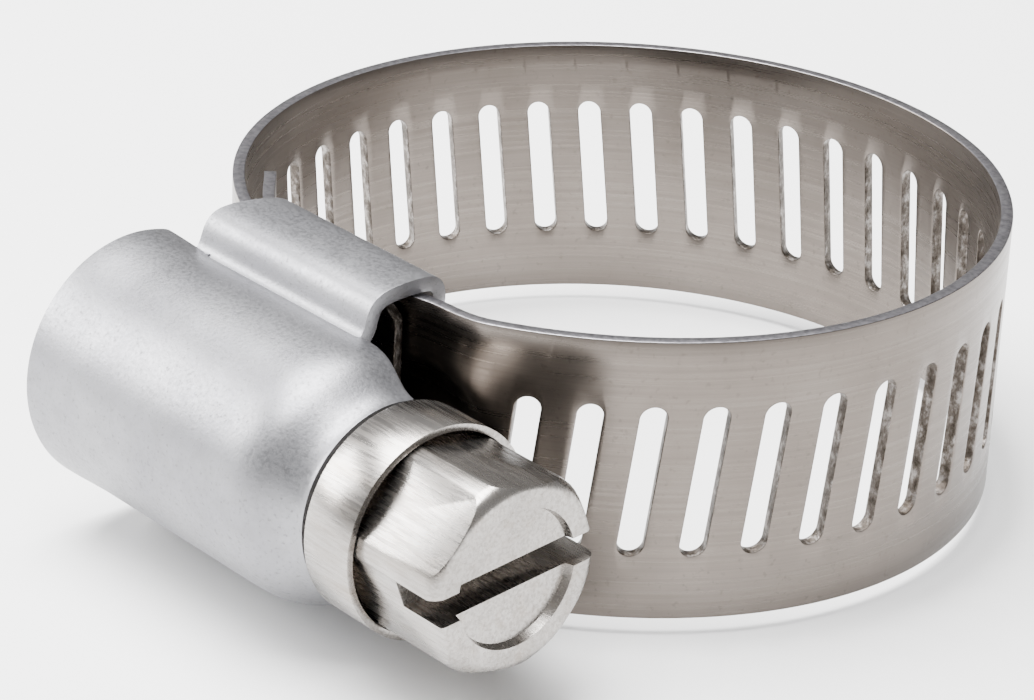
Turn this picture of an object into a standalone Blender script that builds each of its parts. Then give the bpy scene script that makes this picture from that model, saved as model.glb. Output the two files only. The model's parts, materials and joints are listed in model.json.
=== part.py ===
"""Worm-drive hose clamp: slotted band, folded housing and slotted hex screw.

The ring's axis is +Z and the screw lies along X with its head towards +X, on the -Y side.
An angle "phi" round the ring starts at the housing (-Y) and grows towards the screw's head (+X).
A height "h" is measured from the band's mid-height. All sizes are in millimetres until "metres"
turns them, and the scene itself is in metres.
"""
import math

import bmesh
import bpy
from mathutils import Matrix, Vector

MM = 0.001

# Band
BAND_WIDTH = 12.7
BAND_THICK = 0.55
RING_R = 17.025          # mid-surface radius of the ring and of the outer layer under the worm
LAYER_GAP = 0.25         # between the inner and the outer layer inside the housing
NEST_R = RING_R - BAND_THICK - LAYER_GAP
PITCHES_ROUND = 42       # slot pitches in one full turn of the ring
PITCH_ANGLE = 360.0 / PITCHES_ROUND
SLOT_LENGTH = 6.83
SLOT_WIDTH = 1.1
FIRST_SLOT = 34.1        # phi of the first slot, next to the pressed dish
STUB_END = -38.0         # phi of the fixed end's tip, inside the ring
STUB_BEND = 0.6          # the tip is bent in by this much, starting at STUB_BEND_PHI
STUB_BEND_PHI = -18.0
NEST_END = 17.0          # the fixed end lies under the outer layer as far as this
RING_START = 29.0        # and has come out to the ring's radius here
BULGE = 0.42             # the ring stands out by this much near phi 85
BULGE_PHI = 85.0
BULGE_HALF = 60.0
FREE_END = 375.0         # phi of the free end's edge, after a full turn
END_CHAMFER = 0.9
LAST_PLAIN = 2.0         # the free end has no slot in its last degrees
FAR_HINGE = FIRST_SLOT + 12.5 * PITCH_ANGLE   # bending line on the far side, on a web
MOUTH_HINGE = FAR_HINGE + 180.0               # bending line beside the housing's tip mouth
CUT_GAP = 0.3            # width of the cut at each bending line
DISH_PHI = 18.0
DISH_RADIUS = 4.1
DISH_FLAT = 0.5          # share of the dish's radius that is its flat floor
DISH_DEPTH = 0.8

# Housing, pressed from one sheet
SHEET = 0.65
EDGE_CLEARANCE = 0.12    # between the band's edge and the inside of a fold
FOLD_MID_H = BAND_WIDTH / 2 + EDGE_CLEARANCE + SHEET / 2
LIP_MID_N = 14.45        # distance of the folded lip's mid-line from the ring's axis
FLANK_MID_N = 18.15
TUNNEL_R = 5.3           # mid-line radius of the tunnel over the worm
NECK_R = 4.1
SHOULDER = (5.8, 8.6)    # the tunnel narrows to the neck between these stations
TUNNEL_ANGLES = (0, 15, 30, 45, 60, 75, 90, 104)
FLANK = ((18.75, 4.95), (18.3, 5.35), (FLANK_MID_N, 6.1), (17.8, FOLD_MID_H - 0.1))
FOLD = ((17.1, FOLD_MID_H), (15.0, FOLD_MID_H), (LIP_MID_N, 6.3), (LIP_MID_N, 5.4))
STATIONS = (-8.6, -7.7, -6.8, -5.4, -3.5, -1.2, 1.2, 3.4, 4.7, 5.8, 6.6, 7.3, 8.0, 8.8)
FOLD_FIRST = 3           # the folds run between these two stations
FOLD_LAST = 8

# Screw
SCREW_N = 20.5           # distance of the screw's axis from the ring's axis
LEAD = 2.54
CREST_R = 3.7
ROOT_R = 2.85
THREAD_CREST = 0.5
THREAD_ROOT = 0.85
ENGAGED_SLOT = 38        # the slot that the worm's thread is in, counted from the first one
TIP_X = -7.6
TIP_CHAMFER = 0.6
THREAD_START = -6.7
THREAD_END = 6.2
JOURNAL_X = 7.0
JOURNAL_R = 3.5
COLLAR_BACK = 9.3
COLLAR_FRONT = 12.0
COLLAR_R = 4.65
COLLAR_CHAMFER = 0.2
RIM_R = 4.36
RIM_DEPTH = 0.7
HEAD_END = 16.8
HEX_FLATS = 7.8
HEX_ROUND_R = 4.3
HEX_ANGLE = 10.0
FACE_ROUND = 0.7
RECESS_R = 3.05
RECESS_DEPTH = 0.4
DRIVE_WIDTH = 1.25
DRIVE_DEPTH = 2.3
DRIVE_ANGLE = -5.0
OVERLAP = 0.3            # joined shapes reach this far into each other
CLEAR = 1.0              # cutters reach this far past what they cut

# Frame: the origin is under the middle of the whole clamp's box
MID_Z = FOLD_MID_H + SHEET / 2
RING_OUTER = RING_R + BAND_THICK / 2
RING_X = -BULGE / 2
RING_Y = (SCREW_N + TUNNEL_R + SHEET / 2 - RING_OUTER) / 2

COLOURS = {
    "band": (0.36, 0.33, 0.31, 1.0),
    "housing": (0.55, 0.54, 0.53, 1.0),
    "screw": (0.6, 0.58, 0.55, 1.0),
}


def metres(x, y, h):
    """A point of the clamp, in metres, from ring-centred x and y and a height h."""
    return Vector(((RING_X + x) * MM, (RING_Y + y) * MM, (MID_Z + h) * MM))


def polar(phi, radius, h):
    """A point at angle phi (degrees) and radius from the ring's axis."""
    turn = math.radians(phi)
    return metres(radius * math.sin(turn), -radius * math.cos(turn), h)


def smooth(value, low, high):
    """Rises smoothly from 0 at low to 1 at high."""
    t = min(max((value - low) / (high - low), 0.0), 1.0)
    return t * t * (3.0 - 2.0 * t)


def make_material(name, colour, roughness):
    material = bpy.data.materials.new(name)
    material.use_nodes = True
    shader = material.node_tree.nodes["Principled BSDF"]
    shader.inputs["Base Color"].default_value = colour
    shader.inputs["Metallic"].default_value = 1.0
    shader.inputs["Roughness"].default_value = roughness
    return material


def add_object(name, bm, material=None):
    """Turn a bmesh into an object in the scene."""
    mesh = bpy.data.meshes.new(name)
    bm.to_mesh(mesh)
    bm.free()
    body = bpy.data.objects.new(name, mesh)
    bpy.context.collection.objects.link(body)
    if material:
        mesh.materials.append(material)
    return body


def make_cutter(name, bm):
    """An object that only cuts or joins others."""
    cutter = add_object(name, bm)
    cutter.hide_render = True
    cutter.display_type = "WIRE"
    return cutter


def boolean(body, cutter, operation):
    modifier = body.modifiers.new(cutter.name, "BOOLEAN")
    modifier.operation = operation
    modifier.object = cutter


def give_wall(sheet, thickness):
    """Thicken a sheet equally to both sides."""
    wall = sheet.modifiers.new("wall", "SOLIDIFY")
    wall.thickness = thickness * MM
    wall.offset = 0
    wall.use_even_offset = True


def round_off(body, angle=35.0):
    body.data.shade_smooth()
    body.data.set_sharp_from_angle(angle=math.radians(angle))


# ---------------------------------------------------------------- band

def ring_radius(phi):
    """Mid-surface radius of the fixed end and of the ring, at phi."""
    out = smooth(phi, NEST_END, RING_START)
    bent = STUB_BEND * smooth(-phi, -STUB_BEND_PHI, -STUB_END)
    away = abs(phi - BULGE_PHI) / BULGE_HALF
    lobe = math.cos(away * math.pi / 2) ** 2 if away < 1 else 0.0
    return NEST_R - bent + (RING_R - NEST_R) * out + BULGE * lobe * out


def dish_depth(phi, h):
    """How far the round dish presses the band in, at a point of it."""
    along = math.radians(phi - DISH_PHI) * NEST_R
    reach = math.hypot(along, h) / DISH_RADIUS
    return DISH_DEPTH * (1 - smooth(reach, DISH_FLAT, 1.0))


def band_strip(name, start, end, radius_at, material, step=4.0, chamfer=0.0):
    """A curved strip of band from phi start to phi end."""
    columns = math.ceil((end - start) / step)
    rows = 8 if radius_at is ring_radius else 2
    bm = bmesh.new()
    bmesh.ops.create_grid(bm, x_segments=columns, y_segments=rows, size=0.5)
    for vert in bm.verts:
        along = vert.co.x + 0.5
        h = vert.co.y * BAND_WIDTH
        phi = start + (end - start) * along
        corner = abs(abs(h) - BAND_WIDTH / 2) < 0.01 and along > 0.999
        if corner:
            phi -= math.degrees(chamfer / RING_R)
        radius = radius_at(phi)
        if radius_at is ring_radius:
            radius -= dish_depth(phi, h)
        vert.co = polar(phi, radius, h)
    strip = add_object(name, bm, material)
    give_wall(strip, BAND_THICK)
    round_off(strip)
    return strip


def slot_cutters(name, angles, radius_at):
    """Leaning round-ended prisms, one for each slot."""
    lean = math.atan(LEAD / (2 * math.pi * CREST_R))
    bm = bmesh.new()
    for phi in angles:
        made = bmesh.ops.create_circle(
            bm, cap_ends=True, segments=12, radius=SLOT_WIDTH / 2,
            matrix=Matrix.Rotation(math.radians(15), 4, "Z"))
        verts = made["verts"]
        for vert in verts:
            side = 1 if vert.co.y > 0 else -1
            vert.co.y += side * (SLOT_LENGTH - SLOT_WIDTH) / 2
            vert.co.x += vert.co.y * math.tan(lean)
        faces = list({face for vert in verts for face in vert.link_faces})
        grown = bmesh.ops.extrude_face_region(bm, geom=faces)
        top = [item for item in grown["geom"] if isinstance(item, bmesh.types.BMVert)]
        bmesh.ops.translate(bm, vec=(0, 0, 2 * CLEAR + BAND_THICK), verts=top)
        island = {face for vert in verts + top for face in vert.link_faces}
        bmesh.ops.recalc_face_normals(bm, faces=list(island))
        turn = math.radians(phi)
        outward = Vector((math.sin(turn), -math.cos(turn), 0))
        along = Vector((math.cos(turn), math.sin(turn), 0))
        for vert in verts + top:
            reach = radius_at(phi) - CLEAR - BAND_THICK / 2 + vert.co.z
            place = outward * reach + along * vert.co.x
            vert.co = metres(place.x, place.y, vert.co.y)
    return make_cutter(name, bm)


def slots_between(start, end):
    """Angles of the slots whose middle lies between two angles."""
    count = math.floor((end - FIRST_SLOT) / PITCH_ANGLE) + 1
    angles = [FIRST_SLOT + index * PITCH_ANGLE for index in range(count)]
    return [phi for phi in angles if phi > start]


def make_band(material):
    """The band, cut at its two bending lines into three stretches."""
    half_cut = math.degrees(CUT_GAP / 2 / RING_R)
    fixed = band_strip("band_fixed_end", STUB_END, FAR_HINGE - half_cut, ring_radius, material)
    cutters = slot_cutters("fixed_end_slots", slots_between(0, FAR_HINGE), ring_radius)
    boolean(fixed, cutters, "DIFFERENCE")

    def on_circle(phi):
        return RING_R

    closing = band_strip("band_closing_arc", FAR_HINGE + half_cut, MOUTH_HINGE - half_cut,
                         on_circle, material)
    cutters = slot_cutters("closing_arc_slots", slots_between(FAR_HINGE, MOUTH_HINGE), on_circle)
    boolean(closing, cutters, "DIFFERENCE")
    free = band_strip("band_free_end", MOUTH_HINGE + half_cut, FREE_END, on_circle, material,
                      step=3.0, chamfer=END_CHAMFER)
    cutters = slot_cutters("free_end_slots", slots_between(MOUTH_HINGE, FREE_END - LAST_PLAIN),
                           on_circle)
    boolean(free, cutters, "DIFFERENCE")


# ---------------------------------------------------------------- housing

def tunnel_radius(x):
    """Mid-line radius of the tunnel: a long straight bore, then a shoulder down to the neck."""
    return TUNNEL_R + (NECK_R - TUNNEL_R) * smooth(x, *SHOULDER)


def housing_section(x):
    """Half of the housing's mid-line at station x: (distance from the ring's axis, height)."""
    radius = tunnel_radius(x)
    arc = [math.radians(angle) for angle in TUNNEL_ANGLES]
    tunnel = [(SCREW_N + radius * math.cos(a), radius * math.sin(a)) for a in arc]
    return tunnel + list(FLANK + FOLD)


def make_housing(material):
    """One pressed sheet: a tunnel over the worm, a step each side, edges folded round the band."""
    bm = bmesh.new()
    rows = []
    for index, x in enumerate(STATIONS):
        section = housing_section(x)
        if not FOLD_FIRST <= index <= FOLD_LAST:
            section = section[:len(TUNNEL_ANGLES)]
        upper = [bm.verts.new(metres(x, -n, h)) for n, h in section]
        lower = [bm.verts.new(metres(x, -n, -h)) for n, h in section[1:]]
        rows.append(lower[::-1] + upper)
    for left, right in zip(rows, rows[1:]):
        count = min(len(left), len(right))
        skip_left = (len(left) - count) // 2
        skip_right = (len(right) - count) // 2
        for place in range(count - 1):
            a, b = left[skip_left + place], left[skip_left + place + 1]
            c, d = right[skip_right + place + 1], right[skip_right + place]
            bm.faces.new((a, b, c, d))
    bmesh.ops.recalc_face_normals(bm, faces=bm.faces)
    housing = add_object("housing", bm, material)
    give_wall(housing, SHEET)
    round_off(housing, 50)
    return housing


# ---------------------------------------------------------------- screw

def on_screw(x, radius, angle):
    """A point at an angle round the screw: 0 faces away from the ring, 90 is up."""
    turn = math.radians(angle)
    return metres(x, -SCREW_N - radius * math.cos(turn), radius * math.sin(turn))


def turned(name, profile, steps=32, material=None):
    """A solid turned about the screw's axis from (x, radius) points, both ends on the axis."""
    bm = bmesh.new()
    verts = [bm.verts.new(on_screw(x, radius, 0)) for x, radius in profile]
    edges = [bm.edges.new(pair) for pair in zip(verts, verts[1:])]
    bmesh.ops.spin(bm, geom=verts + edges, cent=on_screw(0, 0, 0), axis=(1, 0, 0),
                   angle=math.tau, steps=steps, use_merge=True)
    bmesh.ops.remove_doubles(bm, verts=bm.verts, dist=1e-7)
    bmesh.ops.recalc_face_normals(bm, faces=bm.faces)
    return add_object(name, bm, material) if material else make_cutter(name, bm)


def prism(name, outline, start, end):
    """A cutter with an outline of (radius, angle) points, from x start to x end."""
    bm = bmesh.new()
    face = bm.faces.new([bm.verts.new(on_screw(start, radius, angle)) for radius, angle in outline])
    grown = bmesh.ops.extrude_face_region(bm, geom=[face])
    top = [item for item in grown["geom"] if isinstance(item, bmesh.types.BMVert)]
    bmesh.ops.translate(bm, vec=((end - start) * MM, 0, 0), verts=top)
    bmesh.ops.recalc_face_normals(bm, faces=bm.faces)
    return make_cutter(name, bm)


def thread_x(angle):
    """Where the thread's middle passes a given angle round the screw, near the band."""
    nearest_slot = FIRST_SLOT + ENGAGED_SLOT * PITCH_ANGLE - 360
    engaged = (RING_R - 0.2) * math.sin(math.radians(nearest_slot))
    return engaged + LEAD * (180 - angle) / 360


def make_thread(steps_per_turn=18):
    """The worm's thread: a tapered ridge swept along a right-hand helix."""
    start_angle = 180 + (thread_x(180) - THREAD_START) / LEAD * 360
    turns = (THREAD_END - THREAD_START) / LEAD
    inner = ROOT_R - 0.2
    flare = (THREAD_ROOT - THREAD_CREST) / (CREST_R - ROOT_R) * (CREST_R - inner)
    profile = ((-THREAD_CREST / 2 - flare / 2, inner), (-THREAD_CREST / 2, CREST_R),
               (THREAD_CREST / 2, CREST_R), (THREAD_CREST / 2 + flare / 2, inner))
    bm = bmesh.new()
    verts = [bm.verts.new(on_screw(THREAD_START + along, radius, start_angle))
             for along, radius in profile]
    face = bm.faces.new(verts)
    steps = round(turns * steps_per_turn)
    forward = Vector(((THREAD_END - THREAD_START) * MM / steps, 0, 0))
    bmesh.ops.spin(bm, geom=[face], cent=on_screw(0, 0, 0), axis=(1, 0, 0), dvec=forward,
                   angle=math.tau * turns, steps=steps, use_duplicate=False)
    bmesh.ops.recalc_face_normals(bm, faces=bm.faces)
    return make_cutter("thread_ridge", bm)


def make_screw(material):
    """Tip, worm, journal, cupped collar and slotted hex head, all one cold-formed piece."""
    shank = [(TIP_X, 0), (TIP_X, ROOT_R - TIP_CHAMFER), (TIP_X + TIP_CHAMFER, ROOT_R),
             (THREAD_END + OVERLAP, ROOT_R), (JOURNAL_X, JOURNAL_R), (COLLAR_BACK, JOURNAL_R),
             (COLLAR_BACK, COLLAR_R - COLLAR_CHAMFER), (COLLAR_BACK + COLLAR_CHAMFER, COLLAR_R),
             (COLLAR_FRONT, COLLAR_R), (COLLAR_FRONT, RIM_R),
             (COLLAR_FRONT - RIM_DEPTH, RIM_R), (COLLAR_FRONT - RIM_DEPTH, 0)]
    screw = turned("worm_screw", shank, material=material)
    boolean(screw, make_thread(), "UNION")

    corner = HEX_FLATS / math.sqrt(3)
    outline = [(corner, HEX_ANGLE + 60 * index) for index in range(6)]
    root = COLLAR_FRONT - RIM_DEPTH - OVERLAP
    head = prism("hex_head", outline, root, HEAD_END)
    rounding = [(root - CLEAR, 0), (root - CLEAR, HEX_ROUND_R),
                (HEAD_END - FACE_ROUND, HEX_ROUND_R),
                (HEAD_END - FACE_ROUND / 3, HEX_ROUND_R - FACE_ROUND / 3),
                (HEAD_END + CLEAR, HEX_ROUND_R - FACE_ROUND - 2 * CLEAR), (HEAD_END + CLEAR, 0)]
    boolean(head, turned("head_rounding", rounding, steps=36), "INTERSECT")
    boolean(screw, head, "UNION")

    recess = [(HEAD_END - RECESS_DEPTH, 0), (HEAD_END - RECESS_DEPTH, RECESS_R),
              (HEAD_END + CLEAR, RECESS_R), (HEAD_END + CLEAR, 0)]
    boolean(screw, turned("face_recess", recess, steps=28), "DIFFERENCE")
    reach = corner + CLEAR
    spread = math.degrees(math.asin(DRIVE_WIDTH / 2 / reach))
    corners = [(reach, DRIVE_ANGLE + turn) for turn in (-spread, spread, 180 - spread, 180 + spread)]
    boolean(screw, prism("driver_slot", corners, HEAD_END - DRIVE_DEPTH, HEAD_END + CLEAR),
            "DIFFERENCE")
    round_off(screw)
    return screw


def place_origin(body, point):
    """Move an object's origin to a point on its joint's axis and leave its shape where it is."""
    body.data.transform(Matrix.Translation(-point))
    body.location = point


def main():
    for old in list(bpy.data.objects):
        bpy.data.objects.remove(old, do_unlink=True)
    band_metal = make_material("band_stainless", COLOURS["band"], 0.35)
    housing_metal = make_material("housing_stainless", COLOURS["housing"], 0.45)
    screw_metal = make_material("screw_stainless", COLOURS["screw"], 0.3)
    make_band(band_metal)
    make_housing(housing_metal)
    screw = make_screw(screw_metal)
    bpy.context.view_layer.update()
    place_origin(screw, on_screw(0, 0, 0))
    place_origin(bpy.data.objects["band_closing_arc"], polar(FAR_HINGE, RING_R, 0))
    place_origin(bpy.data.objects["band_free_end"], polar(MOUTH_HINGE, RING_R, 0))


main()
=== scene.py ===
# %% [markdown]
# # A worm-drive hose clamp
# The clamp is three pieces of stainless steel: a slotted band, a pressed housing and a hex-head
# worm screw. The frame gives the places that move or fit: the joints give the screw's axis and the
# ring's centre, and the screw's box gives its length. Every piece below is built round them.

# %% Load the frame
import json
import math

import bmesh
import bpy
from mathutils import Matrix, Vector


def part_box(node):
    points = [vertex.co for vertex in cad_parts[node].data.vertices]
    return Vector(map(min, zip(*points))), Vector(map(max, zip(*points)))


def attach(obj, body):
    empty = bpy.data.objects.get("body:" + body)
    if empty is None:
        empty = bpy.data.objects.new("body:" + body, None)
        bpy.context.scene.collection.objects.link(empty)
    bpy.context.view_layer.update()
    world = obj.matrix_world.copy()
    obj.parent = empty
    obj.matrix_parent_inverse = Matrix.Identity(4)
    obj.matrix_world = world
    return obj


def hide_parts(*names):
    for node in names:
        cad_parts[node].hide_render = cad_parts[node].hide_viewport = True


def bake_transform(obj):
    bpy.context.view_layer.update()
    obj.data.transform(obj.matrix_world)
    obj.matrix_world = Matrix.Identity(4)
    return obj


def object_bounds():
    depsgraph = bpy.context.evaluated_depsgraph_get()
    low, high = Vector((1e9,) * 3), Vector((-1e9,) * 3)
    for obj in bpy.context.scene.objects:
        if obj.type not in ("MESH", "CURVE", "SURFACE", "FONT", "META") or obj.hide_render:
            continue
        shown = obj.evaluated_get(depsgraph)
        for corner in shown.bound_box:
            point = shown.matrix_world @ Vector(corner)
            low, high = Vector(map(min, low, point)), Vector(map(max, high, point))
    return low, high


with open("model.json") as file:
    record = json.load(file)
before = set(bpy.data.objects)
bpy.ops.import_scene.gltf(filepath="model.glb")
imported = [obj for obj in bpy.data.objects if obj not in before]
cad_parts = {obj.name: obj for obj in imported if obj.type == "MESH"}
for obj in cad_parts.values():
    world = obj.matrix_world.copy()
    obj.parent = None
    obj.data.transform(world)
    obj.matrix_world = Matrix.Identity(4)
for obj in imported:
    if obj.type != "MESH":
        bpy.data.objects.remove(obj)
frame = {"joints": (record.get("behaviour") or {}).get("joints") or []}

CAD_LOW, CAD_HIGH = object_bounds()
print("the clamp measures", [round(1000 * side, 1) for side in CAD_HIGH - CAD_LOW], "mm")

# %% [markdown]
# ## Where things are
# The band bends at two lines that lie straight across the ring from each other, so the ring's
# centre is half-way between them. Sizes are written in millimetres from that centre, and one
# function turns them into metres. An angle called phi starts at the housing and grows towards the
# screw's head, and a height h is measured from the middle of the band's width.

# %% Ring and screw axes
MM = 0.001
joints = {joint["name"]: joint for joint in frame["joints"]}
far_line = Vector(joints["far_bend"]["pos_m"])
mouth_line = Vector(joints["mouth_bend"]["pos_m"])
screw_axis = Vector(joints["screw_turn"]["pos_m"])
CENTRE = (far_line + mouth_line) / 2
RING_R = (far_line - mouth_line).length / 2 / MM
SCREW_N = (CENTRE.y - screw_axis.y) / MM
print("ring radius", round(RING_R, 3), "screw at", round(SCREW_N, 2), "mm from the ring's axis")


def metres(x, y, h):
    """A point from ring-centred millimetres, in metres."""
    return Vector((CENTRE.x + x * MM, CENTRE.y + y * MM, CENTRE.z + h * MM))


def polar(phi, radius, h):
    """A point at an angle round the ring."""
    turn = math.radians(phi)
    return metres(radius * math.sin(turn), -radius * math.cos(turn), h)


def smooth(value, low, high):
    """Rises smoothly from 0 at low to 1 at high."""
    t = min(max((value - low) / (high - low), 0.0), 1.0)
    return t * t * (3.0 - 2.0 * t)


def phi_of(point):
    """The angle round the ring of a point of the frame."""
    away = point - CENTRE
    return math.degrees(math.atan2(away.x, -away.y)) % 360


# %% Objects from meshes
def add_piece(name, bm, materials=()):
    """Make an object of a bmesh, at the origin and unturned."""
    mesh = bpy.data.meshes.new(name)
    bm.to_mesh(mesh)
    bm.free()
    for material in materials:
        mesh.materials.append(material)
    piece = bpy.data.objects.new(name, mesh)
    bpy.context.scene.collection.objects.link(piece)
    return piece


def shade(piece, angle):
    """Smooth shading that breaks at edges sharper than an angle in degrees."""
    piece.data.shade_smooth()
    piece.data.set_sharp_from_angle(angle=math.radians(angle))


def settle(piece):
    """Apply a piece's modifiers, so that what cut it can be removed."""
    graph = bpy.context.evaluated_depsgraph_get()
    mesh = bpy.data.meshes.new_from_object(piece.evaluated_get(graph))
    piece.modifiers.clear()
    piece.data = mesh
    mesh.name = piece.name


def combine(piece, other, operation):
    """Join or cut one closed piece with another, and remove the other."""
    step = piece.modifiers.new(operation.lower(), "BOOLEAN")
    step.operation = operation
    step.object = other
    settle(piece)
    bpy.data.objects.remove(other)


# %% [markdown]
# ## Materials
# Every piece is the same family of stainless steel, and what sets them apart is how each surface
# was made. So the finishes share one colour family and differ in grain, gloss and dirt, and the
# screw's recesses get painted shade.
# One helper adds a node with its settings and links, and one function turns sRGB hex values into
# the linear colours that the shader wants. All patterns are worked out from a size in millimetres.

# %% Node and colour helpers
def colour(hex_value):
    """An sRGB hex value as a linear colour."""
    parts = [int(hex_value[i:i + 2], 16) / 255 for i in (1, 3, 5)]
    linear = [p / 12.92 if p <= 0.04045 else ((p + 0.055) / 1.055) ** 2.4 for p in parts]
    return (*linear, 1.0)


def add_node(tree, kind, inputs=None, **settings):
    """Add a node. Inputs are values, or sockets to link from; settings are node properties."""
    node = tree.nodes.new(kind)
    for key, value in settings.items():
        setattr(node, key, value)
    for key, value in (inputs or {}).items():
        if isinstance(value, bpy.types.NodeSocket):
            tree.links.new(value, node.inputs[key])
        else:
            node.inputs[key].default_value = value
    return node


def ramp(tree, factor, stops):
    """A colour ramp from (place, hex colour) stops."""
    node = add_node(tree, "ShaderNodeValToRGB", {"Fac": factor})
    bands = node.color_ramp.elements
    while len(bands) < len(stops):
        bands.new(0.5)
    for element, (place, value) in zip(bands, stops):
        element.position = place
        element.color = colour(value)
    return node.outputs["Color"]


def per_mm(size):
    """The scale of a pattern on metre coordinates that repeats every size millimetres."""
    return 1.0 / (size * MM)


def new_metal(name):
    """An empty stainless material: its tree, its shader and its Object coordinates."""
    material = bpy.data.materials.new(name)
    material.use_nodes = True
    tree = material.node_tree
    shader = tree.nodes["Principled BSDF"]
    shader.inputs["Metallic"].default_value = 1.0
    place = add_node(tree, "ShaderNodeTexCoord").outputs["Object"]
    return material, tree, shader, place


def noise(tree, place, size, stretch=(1, 1, 1), detail=3.0, roughness=0.5):
    """Noise with features about size millimetres across, drawn out by stretch along each axis."""
    pulled = add_node(tree, "ShaderNodeMapping", {
        "Vector": place, "Scale": tuple(1.0 / s for s in stretch)})
    made = add_node(tree, "ShaderNodeTexNoise", {
        "Vector": pulled.outputs["Vector"], "Scale": per_mm(size), "Detail": detail,
        "Roughness": roughness})
    return made.outputs["Fac"]


def spread(tree, factor, low, high, to_low, to_high):
    """Map a range of a value onto another range, and hold it inside."""
    node = add_node(tree, "ShaderNodeMapRange", {
        "Value": factor, "From Min": low, "From Max": high, "To Min": to_low, "To Max": to_high})
    return node.outputs["Result"]


def mix_colours(tree, factor, first, second):
    """Mix a colour socket with a hex colour."""
    node = add_node(tree, "ShaderNodeMix", {0: factor}, data_type="RGBA")
    sides = {socket.name: socket for socket in node.inputs if socket.type == "RGBA"}
    tree.links.new(first, sides["A"])
    sides["B"].default_value = colour(second)
    return [socket for socket in node.outputs if socket.type == "RGBA"][0]


def bump(tree, height, depth_mm, strength=1.0, under=None):
    """A bump of a real depth in millimetres, over another bump if there is one."""
    links = {"Height": height, "Distance": depth_mm * MM, "Strength": strength}
    if under:
        links["Normal"] = under
    return add_node(tree, "ShaderNodeBump", links).outputs["Normal"]


# %% [markdown]
# ### Cold-rolled strip
# The band is slit from cold-rolled strip with a 2B mill finish: smooth, dull and a little warm,
# with faint lines along the strip from the rolls. The lines must follow the ring, so this material
# reads the band's own UV map, which is the flat strip in millimetres.

# %% Band finish
def band_finish():
    material, tree, shader, place = new_metal("cold_rolled_strip")
    strip = add_node(tree, "ShaderNodeUVMap", uv_map="strip_mm").outputs["UV"]
    lines = add_node(tree, "ShaderNodeMapping", {"Vector": strip, "Scale": (0.045, 5.0, 1.0)})
    roll_lines = add_node(tree, "ShaderNodeTexNoise", {
        "Vector": lines.outputs["Vector"], "Scale": 1.0, "Detail": 4.0,
        "Roughness": 0.65}).outputs["Fac"]
    fine = add_node(tree, "ShaderNodeMapping", {"Vector": strip, "Scale": (0.6, 14.0, 1.0)})
    fine_lines = add_node(tree, "ShaderNodeTexNoise", {
        "Vector": fine.outputs["Vector"], "Scale": 1.0, "Detail": 2.0}).outputs["Fac"]
    cloud = noise(tree, place, 6.0, detail=4.0)
    grit = noise(tree, place, 0.28, detail=2.0)
    base = ramp(tree, spread(tree, cloud, 0.3, 0.7, 0, 1), [(0, "#68615b"), (1, "#766f69")])
    lined = mix_colours(tree, spread(tree, roll_lines, 0.35, 0.7, 0, 0.35), base, "#57504b")
    speck = mix_colours(tree, spread(tree, grit, 0.62, 0.75, 0, 0.35), lined, "#4e4843")
    tree.links.new(speck, shader.inputs["Base Color"])
    gloss = spread(tree, roll_lines, 0.3, 0.75, 0.24, 0.36)
    tree.links.new(gloss, shader.inputs["Roughness"])
    relief = bump(tree, fine_lines, 0.002, 0.5)
    tree.links.new(bump(tree, cloud, 0.02, 0.35, relief), shader.inputs["Normal"])
    return material


# %% [markdown]
# ### Punched and slit edges
# A punch shears the first third of a slot's wall and tears the rest, so the walls are rough, with
# bright shorn stripes and dark torn ones. The strip's long edges were slit and show the same, finer.

# %% Cut-edge finishes
def punched_finish():
    material, tree, shader, place = new_metal("punched_wall")
    tear = noise(tree, place, 0.35, (1, 1, 1.6), detail=5.0, roughness=0.7)
    patch = noise(tree, place, 1.3, detail=2.0)
    tone = ramp(tree, spread(tree, tear, 0.35, 0.65, 0, 1), [(0, "#363029"), (0.55, "#655e58"),
                                                            (1, "#a29d99")])
    dirty = mix_colours(tree, spread(tree, patch, 0.45, 0.7, 0, 0.6), tone, "#3f3832")
    tree.links.new(dirty, shader.inputs["Base Color"])
    shader.inputs["Roughness"].default_value = 0.42
    tree.links.new(bump(tree, tear, 0.12, 0.9), shader.inputs["Normal"])
    return material


def slit_finish():
    material, tree, shader, place = new_metal("slit_edge")
    tear = noise(tree, place, 0.3, (1, 1, 1), detail=4.0, roughness=0.65)
    tone = ramp(tree, spread(tree, tear, 0.35, 0.7, 0, 1), [(0, "#737175"), (1, "#9f9da2")])
    tree.links.new(tone, shader.inputs["Base Color"])
    shader.inputs["Roughness"].default_value = 0.34
    tree.links.new(bump(tree, tear, 0.03, 0.6), shader.inputs["Normal"])
    return material


# %% [markdown]
# ### Tumbled pressing
# The housing is pressed and then tumbled with grit, which takes off the burrs and leaves a satin
# skin: fine pits a tenth of a millimetre across, a few hair scratches and softly worn bends. The
# pits are drawn a little coarser than they are, so that they show.

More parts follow.
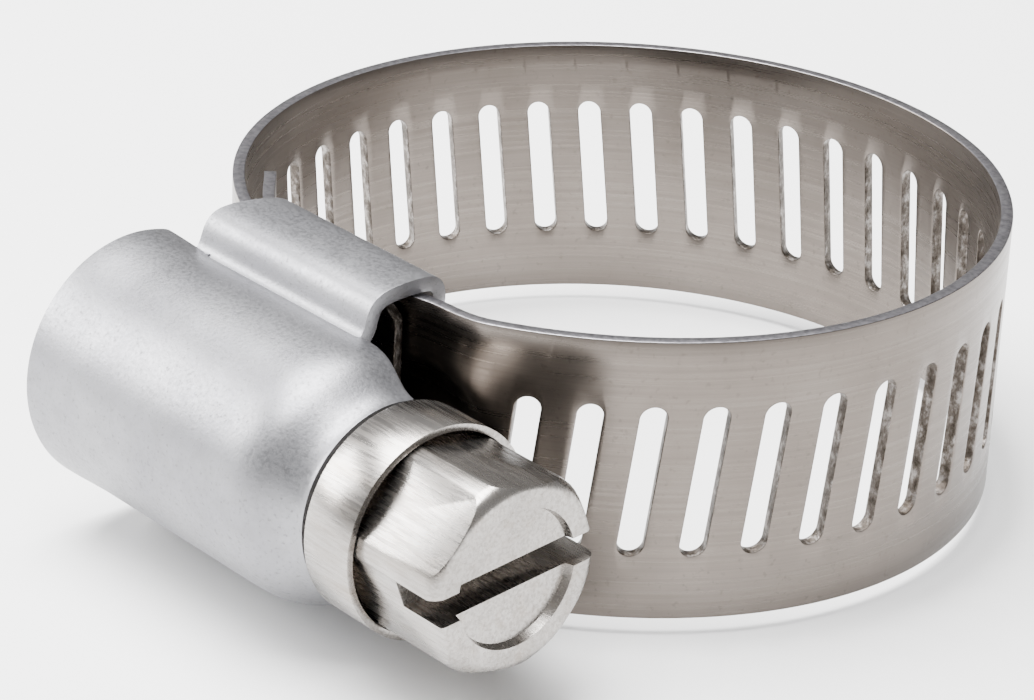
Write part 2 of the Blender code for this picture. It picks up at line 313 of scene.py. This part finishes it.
# %% Housing finish
def housing_finish():
    material, tree, shader, place = new_metal("tumbled_pressing")
    grit = noise(tree, place, 0.17, detail=2.0, roughness=0.6)
    mottle = noise(tree, place, 0.9, detail=4.0, roughness=0.6)
    cloud = noise(tree, place, 5.0, detail=3.0)
    rubs = noise(tree, place, 0.22, (9, 1, 1), detail=3.0, roughness=0.7)
    base = ramp(tree, spread(tree, cloud, 0.3, 0.7, 0, 1), [(0, "#818185"), (1, "#929295")])
    mottled = mix_colours(tree, spread(tree, mottle, 0.4, 0.75, 0, 0.3), base, "#717071")
    pitted = mix_colours(tree, spread(tree, grit, 0.6, 0.78, 0, 0.55), mottled, "#565454")
    rubbed = mix_colours(tree, spread(tree, rubs, 0.66, 0.82, 0, 0.35), pitted, "#bbbbbc")
    tree.links.new(rubbed, shader.inputs["Base Color"])
    gloss = spread(tree, grit, 0.3, 0.75, 0.36, 0.5)
    tree.links.new(gloss, shader.inputs["Roughness"])
    relief = bump(tree, grit, 0.012, 0.6)
    tree.links.new(bump(tree, cloud, 0.05, 0.4, relief), shader.inputs["Normal"])
    return material


# %% [markdown]
# ### Cold-formed screw
# The screw is headed from drawn wire. The hexagon keeps long drawn scratches along the screw and
# the collar is turned smooth. The driver slot and the collar's cup get a dark finish of their own,
# which is painted shade of these recesses.

# %% Screw finish
def screw_finish():
    material, tree, shader, place = new_metal("cold_formed_bright")
    drawn = noise(tree, place, 0.16, (14, 1, 1), detail=4.0, roughness=0.65)
    broad = noise(tree, place, 0.8, (5, 1, 1), detail=3.0)
    cloud = noise(tree, place, 2.5, detail=3.0)
    base = ramp(tree, spread(tree, cloud, 0.3, 0.7, 0, 1), [(0, "#94908c"), (1, "#a8a4a0")])
    streaked = mix_colours(tree, spread(tree, drawn, 0.42, 0.75, 0, 0.5), base, "#5f574f")
    warm = mix_colours(tree, spread(tree, broad, 0.5, 0.75, 0, 0.4), streaked, "#8a7f73")
    tree.links.new(warm, shader.inputs["Base Color"])
    gloss = spread(tree, drawn, 0.35, 0.7, 0.2, 0.36)
    tree.links.new(gloss, shader.inputs["Roughness"])
    relief = bump(tree, drawn, 0.012, 0.55)
    tree.links.new(bump(tree, cloud, 0.05, 0.3, relief), shader.inputs["Normal"])
    return material


def slot_painted_shade_finish():
    # A dark finish for the driver slot and the collar's cup: painted shade of these recesses, with
    # milling marks in it.
    material, tree, shader, place = new_metal("painted_shade_slot")
    marks = noise(tree, place, 0.12, (1, 7, 1), detail=3.0, roughness=0.6)
    shade_patches = noise(tree, place, 0.9, detail=4.0)
    # Both ends of the ramp are dark painted shade, and the patches below darken it further.
    tone = ramp(tree, spread(tree, marks, 0.3, 0.7, 0, 1), [(0, "#362f29"), (1, "#62594f")])
    shaded_tone = mix_colours(tree, spread(tree, shade_patches, 0.35, 0.65, 0, 0.7), tone, "#332b24")
    tree.links.new(shaded_tone, shader.inputs["Base Color"])
    shader.inputs["Roughness"].default_value = 0.4
    tree.links.new(bump(tree, marks, 0.02, 0.8), shader.inputs["Normal"])
    return material


band_metal = band_finish()
wall_metal = punched_finish()
slit_metal = slit_finish()
housing_metal = housing_finish()
screw_metal = screw_finish()
slot_shade_metal = slot_painted_shade_finish()
print("finishes:", [m.name for m in (band_metal, wall_metal, slit_metal, housing_metal,
                                     screw_metal, slot_shade_metal)])

# %% [markdown]
# ## The band
# A factory punches the slots in flat strip and then rolls it up, and the model does the same. One
# cell of strip is a circle pulled out into a slot, with its edge extruded out to the cell's border.
# Cells and plain stretches are laid end to end, given their thickness and small edge bevels while
# still flat, where these steps are reliable, and last of all rolled round the ring by one formula.

# %% Strip sizes
BAND_WIDTH = 12.7
BAND_THICK = 0.55
PITCHES_ROUND = 42
PITCH_ANGLE = 360.0 / PITCHES_ROUND
PITCH = math.radians(PITCH_ANGLE) * RING_R
SLOT_LENGTH = 6.83
SLOT_WIDTH = 1.1
LEAD = 2.54
CREST_R = 3.7
LEAN = math.atan(LEAD / (2 * math.pi * CREST_R))
SHEAR_EDGE = 0.045
WELD = 1e-3
FAR_PHI = phi_of(far_line)
PITCHES_TO_FAR_LINE = 12.5
FIRST_SLOT = FAR_PHI - PITCHES_TO_FAR_LINE * PITCH_ANGLE
SLOT_COUNT = 40
ENGAGED_SLOT = 38
STUB_END = -38.0
FREE_END = 375.0
END_CHAMFER = 0.9
SLOT_MIDDLE = (SLOT_LENGTH - SLOT_WIDTH) / 2
print("slot pitch", round(PITCH, 3), "mm, first slot at", round(FIRST_SLOT, 2), "degrees")


# %% One cell with a slot
SLOT_POINTS = 48
HALF_STEP = math.radians(180 / SLOT_POINTS)


def on_border(x, y):
    """The point of the cell's border straight out from a point of the slot's outline."""
    side = PITCH / 2
    top = BAND_WIDTH / 2 - SLOT_MIDDLE
    rise = abs(y) - SLOT_MIDDLE
    if rise <= 0:
        return math.copysign(side, x), y
    corner = math.atan2(top, side)
    angle = math.atan2(rise, abs(x))
    if abs(angle - corner) < HALF_STEP:
        return math.copysign(side, x), math.copysign(BAND_WIDTH / 2, y)
    if angle < corner:
        reach_y = SLOT_MIDDLE + side * math.tan(angle)
        return math.copysign(side, x), math.copysign(reach_y, y)
    reach_x = top / math.tan(angle)
    return math.copysign(reach_x, x), math.copysign(BAND_WIDTH / 2, y)


def slot_cell():
    """A mesh of one pitch of flat strip, with the slot in its middle."""
    bm = bmesh.new()
    turn = Matrix.Rotation(HALF_STEP, 4, "Z")
    bmesh.ops.create_circle(bm, segments=SLOT_POINTS, radius=SLOT_WIDTH / 2, matrix=turn)
    for vert in bm.verts:
        vert.co.y += math.copysign(SLOT_MIDDLE, vert.co.y)
    sides = [edge for edge in bm.edges if edge.calc_length() > SLOT_MIDDLE]
    bmesh.ops.subdivide_edges(bm, edges=sides, cuts=9)
    grown = bmesh.ops.extrude_edge_only(bm, edges=bm.edges[:])["geom"]
    border = {item for item in grown if isinstance(item, bmesh.types.BMVert)}
    for vert in bm.verts:
        if vert in border:
            vert.co.x, vert.co.y = on_border(vert.co.x, vert.co.y)
        else:
            vert.co.x += vert.co.y * math.tan(LEAN)
    spokes = [edge for edge in bm.edges if (edge.verts[0] in border) != (edge.verts[1] in border)]
    bmesh.ops.subdivide_edges(bm, edges=spokes, cuts=2, use_grid_fill=True)
    mesh = bpy.data.meshes.new("slot_cell")
    bm.to_mesh(mesh)
    bm.free()
    return mesh


CELL = slot_cell()
HEIGHTS = sorted({round(vert.co.y, 4) for vert in CELL.vertices if vert.co.x > PITCH / 2 - 1e-4})
print("a cell has", len(CELL.polygons), "faces and", len(HEIGHTS), "points on each side")


def lay_cell(bm, middle):
    """Put a cell into the strip with its slot at x = middle."""
    before = len(bm.verts)
    bm.from_mesh(CELL)
    bm.verts.ensure_lookup_table()
    bmesh.ops.translate(bm, vec=(middle, 0, 0), verts=bm.verts[before:])


# %% Plain strip
COLUMN = 0.42


def plain_stretch(bm, start, end):
    """Flat strip without slots from x = start to x = end."""
    columns = max(1, round((end - start) / COLUMN))
    rows = len(HEIGHTS) - 1
    made = bmesh.ops.create_grid(bm, x_segments=columns, y_segments=rows, size=0.5)["verts"]
    for vert in made:
        vert.co.y = HEIGHTS[round((vert.co.y + 0.5) * rows)]
        vert.co.x = start + (end - start) * (vert.co.x + 0.5)


# %% Roll the strip
LAYER_GAP = 0.25
NEST_R = RING_R - (BAND_THICK + LAYER_GAP)
NEST_END, RING_START = 17.0, 29.0
BULGE, BULGE_PHI, BULGE_HALF = 0.42, 85.0, 60.0
STUB_BEND, STUB_BEND_PHI = 0.6, -18.0
DISH_PHI, DISH_RADIUS, DISH_FLAT, DISH_DEPTH = 18.0, 4.1, 0.5, 0.8


def inner_layer_radius(phi):
    """The fixed end lies under the outer layer, then comes out to the ring and bulges a little."""
    out = smooth(phi, NEST_END, RING_START)
    bent = STUB_BEND * smooth(-phi, -STUB_BEND_PHI, -STUB_END)
    away = abs(phi - BULGE_PHI) / BULGE_HALF
    lobe = math.cos(away * math.pi / 2) ** 2 if away < 1 else 0.0
    return NEST_R - bent + (RING_R - NEST_R) * out + BULGE * lobe * out


def outer_layer_radius(phi):
    """The free end keeps to the ring's radius all the way, so that it can travel round it."""
    return RING_R


def dish(phi, h):
    """A round dish is pressed into the plain strip beside the housing, to clear the screw."""
    along = math.radians(phi - DISH_PHI) * NEST_R
    reach = math.hypot(along, h) / DISH_RADIUS
    return DISH_DEPTH * (1 - smooth(reach, DISH_FLAT, 1.0))


def roll(bm, radius_at):
    """Bend flat strip round the ring: x is the way along it and z its thickness."""
    for vert in bm.verts:
        phi = math.degrees(vert.co.x / RING_R)
        radius = radius_at(phi) + vert.co.z
        if radius_at is inner_layer_radius:
            radius -= dish(phi, vert.co.y)
        vert.co = polar(phi, radius, vert.co.y)


# %% Thickness, edges and finish of a length of strip
def along(phi):
    """The place along the flat strip of an angle round the ring."""
    return math.radians(phi) * RING_R


def length_of_strip(name, start, end, slots, radius_at, open_ends=(), chamfer=False):
    """A length of band between two angles. Open ends meet the next length and get no bevel."""
    bm = bmesh.new()
    uv = bm.loops.layers.uv.new("strip_mm")
    place = start
    for phi in slots:
        if phi - PITCH_ANGLE / 2 > place + 0.01:
            plain_stretch(bm, along(place), along(phi - PITCH_ANGLE / 2))
        lay_cell(bm, along(phi))
        place = phi + PITCH_ANGLE / 2
    if end > place + 0.01:
        plain_stretch(bm, along(place), along(end))
    bmesh.ops.remove_doubles(bm, verts=bm.verts, dist=WELD)
    if chamfer:
        for vert in bm.verts:
            cut = max(0.0, abs(vert.co.y) - (BAND_WIDTH / 2 - END_CHAMFER))
            vert.co.x = min(vert.co.x, along(end) - cut)
    bmesh.ops.translate(bm, vec=(0, 0, -BAND_THICK / 2), verts=bm.verts)
    grown = bmesh.ops.extrude_face_region(bm, geom=bm.faces[:])["geom"]
    top = [item for item in grown if isinstance(item, bmesh.types.BMVert)]
    bmesh.ops.translate(bm, vec=(0, 0, BAND_THICK), verts=top)
    bmesh.ops.recalc_face_normals(bm, faces=bm.faces)
    seams = [along(phi) for phi in open_ends]
    rims = [edge for edge in bm.edges if edge.calc_face_angle(0) > 1.0
            and not any(all(abs(v.co.x - x) < WELD for v in edge.verts) for x in seams)]
    bmesh.ops.bevel(bm, geom=rims, offset=SHEAR_EDGE, offset_type="OFFSET", segments=2,
                    profile=0.5, affect="EDGES", material=-1, clamp_overlap=True)
    bm.normal_update()
    for face in bm.faces:
        level = abs(face.calc_center_median().y) > BAND_WIDTH / 2 - 0.04
        face.material_index = 0 if abs(face.normal.z) > 0.8 else (2 if level else 1)
        for loop in face.loops:
            loop[uv].uv = (loop.vert.co.x, loop.vert.co.y)
    roll(bm, radius_at)
    piece = add_piece(name, bm, (band_metal, wall_metal, slit_metal))
    shade(piece, 50)
    print(name, len(piece.data.polygons), "faces")
    return piece


# %% [markdown]
# The band bends at two lines as the clamp closes, and a blended piece can cross only one of them,
# so it is made in three lengths: the end hidden under the housing, the ring over the far line, and
# the stretch over the mouth line that ends in the free end. They meet edge to edge on plain metal:
# once inside the housing, and once on the web between two slots.

# %% Three lengths of band
HIDDEN_SEAM = 6.0
PITCHES_TO_SEAM = 30.5
SIDE_SEAM = FIRST_SLOT + PITCHES_TO_SEAM * PITCH_ANGLE
all_slots = [FIRST_SLOT + index * PITCH_ANGLE for index in range(SLOT_COUNT)]
band_stub = length_of_strip("band_stub", STUB_END, HIDDEN_SEAM, [], inner_layer_radius,
                            open_ends=(HIDDEN_SEAM,))
band_ring = length_of_strip("band_ring", HIDDEN_SEAM, SIDE_SEAM,
                            [phi for phi in all_slots if phi < SIDE_SEAM], inner_layer_radius,
                            open_ends=(HIDDEN_SEAM, SIDE_SEAM))
band_tail = length_of_strip("band_tail", SIDE_SEAM, FREE_END,
                            [phi for phi in all_slots if phi > SIDE_SEAM], outer_layer_radius,
                            open_ends=(SIDE_SEAM,), chamfer=True)

# %% [markdown]
# ## The housing
# A press draws one sheet into a tunnel over the worm with a step on each side, and its edges are
# folded round the band. The model is a coarse cage of the sheet's middle, with one section at each
# station along the screw. A subdivision surface rounds it the way a press does, Solidify gives it
# the sheet's thickness, and a small bevel rounds the sheared edges.

# %% Housing sections
SHEET = 0.65
EDGE_CLEARANCE = 0.12
FOLD_H = BAND_WIDTH / 2 + EDGE_CLEARANCE + SHEET / 2
LIP_N = 14.45
TUNNEL_R = 5.36
NECK_R = 4.12
SHOULDER = (5.9, 8.5)
TIP_DRAW, TIP_DRAWN = 0.03, (5.5, 8.3)


def tunnel_radius(x):
    """The tunnel is straight, then a shoulder narrows it to the neck behind the collar."""
    return TUNNEL_R + (NECK_R - TUNNEL_R) * smooth(x, *SHOULDER)


TUNNEL_ANGLES = (0, 18, 36, 54, 70, 84, 96, 108)
FOLD_POINTS = ((18.95, 4.8), (18.45, 5.0), (18.15, 5.4), (18.03, 6.0), (17.72, FOLD_H - 0.15),
               (16.5, FOLD_H), (15.4, FOLD_H), (14.75, FOLD_H - 0.08), (LIP_N, 6.3), (LIP_N, 5.5))
STEP_REACH = (1.1, 1.1, 1.1, 1.05, 1.0, 0.7, 0.3, 0.05, 0, 0)


def section(x):
    """Half of the sheet's middle at a station: distances from the ring's axis, with heights."""
    radius = tunnel_radius(x)
    tall = 1 + TIP_DRAW * smooth(-x, *TIP_DRAWN)
    turns = [math.radians(angle) for angle in TUNNEL_ANGLES]
    tunnel = [(SCREW_N + radius * math.cos(a), tall * radius * math.sin(a)) for a in turns]
    return [*tunnel, *FOLD_POINTS]


# %% Housing cage
STATIONS = (-8.55, -8.3, -7.6, -6.6, -5.5, -5.2, -4.0, -1.5, 1.0, 3.2, 4.3, 4.6, 5.6, 6.5, 7.2,
            7.9, 8.5, 8.8)
FOLD_FIRST, FOLD_LAST, STEP_LAST = 4, 11, 6


def housing_cage():
    """The sheet's middle: a grid with its columns on the stations, bent into their sections."""
    bm = bmesh.new()
    columns = len(STATIONS) - 1
    half = len(TUNNEL_ANGLES) + len(FOLD_POINTS) - 1
    bmesh.ops.create_grid(bm, x_segments=columns, y_segments=2 * half, size=0.5)
    unfolded = []
    for vert in bm.verts:
        column = round((vert.co.x + 0.5) * columns)
        row = round((vert.co.y + 0.5) * 2 * half) - half
        past_tunnel = abs(row) - len(TUNNEL_ANGLES)
        x = STATIONS[column]
        n, h = section(x)[abs(row)]
        if past_tunnel >= 0 and column < STEP_LAST:
            x -= STEP_REACH[past_tunnel]
        vert.co = metres(x, -n, math.copysign(h, row))
        if past_tunnel >= 0 and not FOLD_FIRST <= column <= FOLD_LAST:
            unfolded.append(vert)
    bmesh.ops.delete(bm, geom=unfolded, context="VERTS")
    bmesh.ops.recalc_face_normals(bm, faces=bm.faces)
    return bm


housing = add_piece("pressed_housing", housing_cage(), (housing_metal,))
rounding = housing.modifiers.new("press_rounding", "SUBSURF")
rounding.levels = rounding.render_levels = 3
wall = housing.modifiers.new("sheet", "SOLIDIFY")
wall.thickness = SHEET * MM
wall.offset = 0
wall.use_even_offset = True
settle(housing)
deburr = housing.modifiers.new("tumbled_edges", "BEVEL")
deburr.width = 0.12 * MM
deburr.segments = 3
deburr.limit_method = "ANGLE"
deburr.angle_limit = math.radians(50)
settle(housing)
shade(housing, 60)
print("housing", len(housing.data.polygons), "faces")

# %% [markdown]
# ## The screw
# The shank and the cupped collar are turned: a profile spun round the screw's axis. The worm is a
# ridge swept along a helix by the same spin with a step forward, and joined on. The hexagon is a
# prism, rounded off by a turned shape as the heading die does it, then cut by the round recess and
# the driver slot.

# %% Screw sizes
SCREW_LOW, SCREW_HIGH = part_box("worm_screw")
TIP_X = (SCREW_LOW.x - CENTRE.x) / MM
HEAD_END = (SCREW_HIGH.x - CENTRE.x) / MM
ROOT_R = 2.85
THREAD_START, THREAD_END = -6.7, 6.2
THREAD_CREST, THREAD_ROOT, THREAD_SINK = 0.5, 0.85, 0.2
TIP_CHAMFER = 0.6
JOURNAL_X, JOURNAL_R = 7.0, 3.5
COLLAR_BACK, COLLAR_FRONT, COLLAR_R = 9.3, 12.0, 4.65
RIM_R, RIM_DEPTH = 4.36, 0.7
HEX_FLATS, HEX_ROUND_R, HEX_ANGLE = 7.8, 4.3, 10.0
FACE_ROUND, DIE_PAST = 0.7, 1.02
DRIVE_REACH = 6.0
OVERLAP, CLEAR = 0.3, 1.0
RECESS_R, RECESS_DEPTH = 3.05, 0.4
DRIVE_WIDTH, DRIVE_DEPTH, DRIVE_ANGLE = 1.25, 2.3, -5.0
print("screw from", round(TIP_X, 2), "to", round(HEAD_END, 2), "mm along X")


def turned(name, profile, steps=96, materials=()):
    """A solid of revolution about the screw's axis, from (x, radius) points."""
    bm = bmesh.new()
    verts = [bm.verts.new((x, radius, 0)) for x, radius in profile]
    edges = [bm.edges.new(pair) for pair in zip(verts, verts[1:])]
    bmesh.ops.spin(bm, geom=verts + edges, cent=(0, 0, 0), axis=(1, 0, 0), angle=math.tau,
                   steps=steps, use_merge=True)
    bmesh.ops.remove_doubles(bm, verts=bm.verts, dist=1e-4)
    bmesh.ops.recalc_face_normals(bm, faces=bm.faces)
    put_on_screw(bm)
    return add_piece(name, bm, materials)


def put_on_screw(bm):
    """Move a shape made about the X axis, in millimetres, onto the screw's axis in metres."""
    place = Matrix.Translation(metres(0, -SCREW_N, 0)) @ Matrix.Scale(MM, 4)
    bmesh.ops.transform(bm, matrix=place, verts=bm.verts)


def prism(name, outline, start, end, materials=()):
    """A straight bar along the screw with an outline of (radius, angle) points."""
    bm = bmesh.new()
    corners = []
    for radius, angle in outline:
        turn = math.radians(angle)
        corners.append(bm.verts.new((start, -radius * math.cos(turn), radius * math.sin(turn))))
    face = bm.faces.new(corners)
    grown = bmesh.ops.extrude_face_region(bm, geom=[face])["geom"]
    top = [item for item in grown if isinstance(item, bmesh.types.BMVert)]
    bmesh.ops.translate(bm, vec=(end - start, 0, 0), verts=top)
    bmesh.ops.recalc_face_normals(bm, faces=bm.faces)
    put_on_screw(bm)
    return add_piece(name, bm, materials)


# %% Shank and collar
shank_profile = [(TIP_X, 0), (TIP_X, ROOT_R - TIP_CHAMFER), (TIP_X + TIP_CHAMFER, ROOT_R),
                 (THREAD_END + 0.2, ROOT_R), (JOURNAL_X, JOURNAL_R), (COLLAR_BACK, JOURNAL_R),
                 (COLLAR_BACK, COLLAR_R), (COLLAR_FRONT, COLLAR_R), (COLLAR_FRONT, RIM_R),
                 (COLLAR_FRONT - RIM_DEPTH, RIM_R - 0.05), (COLLAR_FRONT - RIM_DEPTH, 0)]
shank = turned("screw_shank", shank_profile, materials=(screw_metal, slot_shade_metal))


# %% Worm thread
def worm_thread(steps_per_turn=40):
    """A tapered ridge swept round a right-hand helix; it passes through the slots of the band."""
    slot_in_mesh = FIRST_SLOT + ENGAGED_SLOT * PITCH_ANGLE - 360
    engaged_x = (RING_R - 0.2) * math.sin(math.radians(slot_in_mesh))
    start_angle = 180 + (engaged_x - THREAD_START) / LEAD * 360
    turns = (THREAD_END - THREAD_START) / LEAD
    inner = ROOT_R - THREAD_SINK
    flare = (THREAD_ROOT - THREAD_CREST) / (CREST_R - ROOT_R) * (CREST_R - inner)
    profile = ((-THREAD_CREST / 2 - flare / 2, inner), (-THREAD_CREST / 2, CREST_R),
               (THREAD_CREST / 2, CREST_R), (THREAD_CREST / 2 + flare / 2, inner))
    turn = math.radians(start_angle)
    bm = bmesh.new()
    face = bm.faces.new([bm.verts.new((THREAD_START + x, -radius * math.cos(turn),
                                       radius * math.sin(turn))) for x, radius in profile])
    steps = round(turns * steps_per_turn)
    bmesh.ops.spin(bm, geom=[face], cent=(0, 0, 0), axis=(1, 0, 0), angle=math.tau * turns,
                   dvec=((THREAD_END - THREAD_START) / steps, 0, 0), steps=steps)
    bmesh.ops.recalc_face_normals(bm, faces=bm.faces)
    put_on_screw(bm)
    return add_piece("thread_ridge", bm)


combine(shank, worm_thread(), "UNION")


def soften(piece, width, segments=3, angle=35):
    """Round a piece's sharp edges a little."""
    edge = piece.modifiers.new("soft_edges", "BEVEL")
    edge.width = width * MM
    edge.segments = segments
    edge.limit_method = "ANGLE"
    edge.angle_limit = math.radians(angle)
    settle(piece)


soften(shank, 0.09, 2, 40)
cup_floor = CENTRE.x + (COLLAR_FRONT - RIM_DEPTH) * MM
# The floor of the collar's cup takes the second finish, which is painted shade of the recess.
for face in shank.data.polygons:
    cup_shade = abs(face.center.x - cup_floor) < 0.3 * MM and face.normal.x > 0.3
    face.material_index = 1 if cup_shade else 0
shade(shank, 40)
print("shank", len(shank.data.polygons), "faces")

# %% Hex head
root_x = COLLAR_FRONT - RIM_DEPTH - OVERLAP
hexagon = [(HEX_FLATS / math.sqrt(3), HEX_ANGLE + 60 * index) for index in range(6)]
head = prism("hex_head", hexagon, root_x, HEAD_END, (screw_metal,))
head_round = [(root_x - CLEAR, 0), (root_x - CLEAR, HEX_ROUND_R)]
for index in range(7):
    swing = math.radians(90 * index / 6)
    head_round.append((HEAD_END - FACE_ROUND + FACE_ROUND * math.sin(swing) * DIE_PAST,
                       HEX_ROUND_R - FACE_ROUND + FACE_ROUND * math.cos(swing)))
head_round.append((HEAD_END + FACE_ROUND * (DIE_PAST - 1), 0))
combine(head, turned("heading_die", head_round), "INTERSECT")
recess = [(HEAD_END - RECESS_DEPTH, 0), (HEAD_END - RECESS_DEPTH, RECESS_R - 0.15),
          (HEAD_END + CLEAR, RECESS_R + 0.2), (HEAD_END + CLEAR, 0)]
combine(head, turned("recess_punch", recess), "DIFFERENCE")
half = math.degrees(math.asin(DRIVE_WIDTH / 2 / DRIVE_REACH))
blade = [(DRIVE_REACH, DRIVE_ANGLE + turn) for turn in (-half, half, 180 - half, 180 + half)]
# The slot's walls take the saw's finish, which is painted shade of the driver slot.
combine(head, prism("slot_saw", blade, HEAD_END - DRIVE_DEPTH, HEAD_END + CLEAR, (slot_shade_metal,)),
        "DIFFERENCE")
soften(head, 0.1, 3, 30)
shade(head, 30)
print("head", len(head.data.polygons), "faces, materials", [m.name for m in head.data.materials])

# %% [markdown]
# ## Light, floor and camera
# Polished steel shows its surroundings more than its own colour, so the light is large and soft:
# a broad overhead panel and a weaker one from the left. Two dark cards give the steel something to
# reflect besides white. The camera looks at the screw's head from the front right.

# %% Floor
FLOOR_HALF = 1.2
FLOOR_DROP = 0.00002


def add_floor():
    bm = bmesh.new()
    bmesh.ops.create_grid(bm, x_segments=1, y_segments=1, size=FLOOR_HALF)
    bmesh.ops.translate(bm, vec=(0, 0, -FLOOR_DROP), verts=bm.verts)
    material = bpy.data.materials.new("pale_floor")
    material.use_nodes = True
    shader = material.node_tree.nodes["Principled BSDF"]
    shader.inputs["Base Color"].default_value = colour("#f4f4f4")
    shader.inputs["Roughness"].default_value = 0.9
    shader.inputs["Specular IOR Level"].default_value = 0.2
    floor = add_piece("floor", bm, (material,))


add_floor()


# %% Lights
def add_panel(name, where, size, power):
    """A rectangular soft light at a point, in metres, aimed at the clamp."""
    light = bpy.data.lights.new(name, "AREA")
    light.shape = "RECTANGLE"
    light.size, light.size_y = size
    light.energy = power
    lamp = bpy.data.objects.new(name, light)
    lamp.location = where
    lamp.rotation_euler = (middle - where).to_track_quat("-Z", "Y").to_euler()
    bpy.context.scene.collection.objects.link(lamp)


world = bpy.data.worlds.new("studio")
bpy.context.scene.world = world
world.use_nodes = True
world.node_tree.nodes["Background"].inputs["Color"].default_value = colour("#ffffff")
world.node_tree.nodes["Background"].inputs["Strength"].default_value = 0.5
middle = (CAD_LOW + CAD_HIGH) / 2
add_panel("overhead", middle + Vector((-0.06, -0.05, 0.32)), size=(0.3, 0.25), power=6.0)
add_panel("left", middle + Vector((-0.33, -0.2, 0.16)), size=(0.22, 0.2), power=3.5)


def add_card(name, where, size, hex_value):
    """A dark card facing the clamp, out of the camera's view, for the steel to reflect."""
    bm = bmesh.new()
    bmesh.ops.create_grid(bm, x_segments=1, y_segments=1, size=0.5)
    bmesh.ops.scale(bm, vec=(size[0], size[1], 1), verts=bm.verts)
    face_to = (middle - where).to_track_quat("Z", "Y").to_matrix().to_4x4()
    bmesh.ops.transform(bm, matrix=Matrix.Translation(where) @ face_to, verts=bm.verts)
    material = bpy.data.materials.new(name)
    material.use_nodes = True
    shader = material.node_tree.nodes["Principled BSDF"]
    shader.inputs["Base Color"].default_value = colour(hex_value)
    shader.inputs["Roughness"].default_value = 1.0
    card = add_piece(name, bm, (material,))


add_card("front_card", middle + Vector((0.24, -0.2, 0.02)), (0.3, 0.1), "#2e2d2c")
add_card("back_card", middle + Vector((-0.2, 0.26, 0.1)), (0.3, 0.12), "#4a4846")

# %% Camera
CAMERA_AZIMUTH = 46.2
CAMERA_ELEVATION = 24.197
CAMERA_DISTANCE = 0.170473
CAMERA_PAN = 1.4446
CAMERA_TILT = -0.7374
CAMERA_ROLL = 3.286
LENS_MM = 131.22


def add_camera():
    """Look at the ring's middle from an azimuth and elevation, then pan, tilt and roll."""
    azimuth, elevation = math.radians(CAMERA_AZIMUTH), math.radians(CAMERA_ELEVATION)
    back = Vector((math.sin(azimuth) * math.cos(elevation),
                   -math.cos(azimuth) * math.cos(elevation), math.sin(elevation)))
    right = Vector((math.cos(azimuth), math.sin(azimuth), 0))
    up = back.cross(right)
    pan = Matrix.Rotation(math.radians(CAMERA_PAN), 3, up)
    forward, right = pan @ -back, pan @ right
    tilt = Matrix.Rotation(math.radians(CAMERA_TILT), 3, right)
    forward, up = tilt @ forward, tilt @ up
    spin = math.radians(CAMERA_ROLL)
    right, up = (right * math.cos(spin) + up * math.sin(spin),
                 up * math.cos(spin) - right * math.sin(spin))
    data = bpy.data.cameras.new("camera")
    data.lens = LENS_MM
    data.clip_start, data.clip_end = 0.01, 10
    camera = bpy.data.objects.new("camera", data)
    turn = Matrix((right, up, -forward)).transposed()
    place = Matrix.Translation(CENTRE + back * CAMERA_DISTANCE)
    camera.matrix_world = place @ turn.to_4x4()
    bpy.context.scene.collection.objects.link(camera)
    bpy.context.scene.camera = camera


add_camera()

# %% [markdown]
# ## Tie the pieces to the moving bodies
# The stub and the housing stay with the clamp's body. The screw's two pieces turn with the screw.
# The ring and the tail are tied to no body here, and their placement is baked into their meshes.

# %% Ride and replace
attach(band_stub, "clamp_body")
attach(housing, "clamp_body")
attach(shank, "screw")
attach(head, "screw")
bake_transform(band_ring)
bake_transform(band_tail)
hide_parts("band_fixed_end")
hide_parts("band_closing_arc")
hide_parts("band_free_end")
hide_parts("housing")
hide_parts("worm_screw")
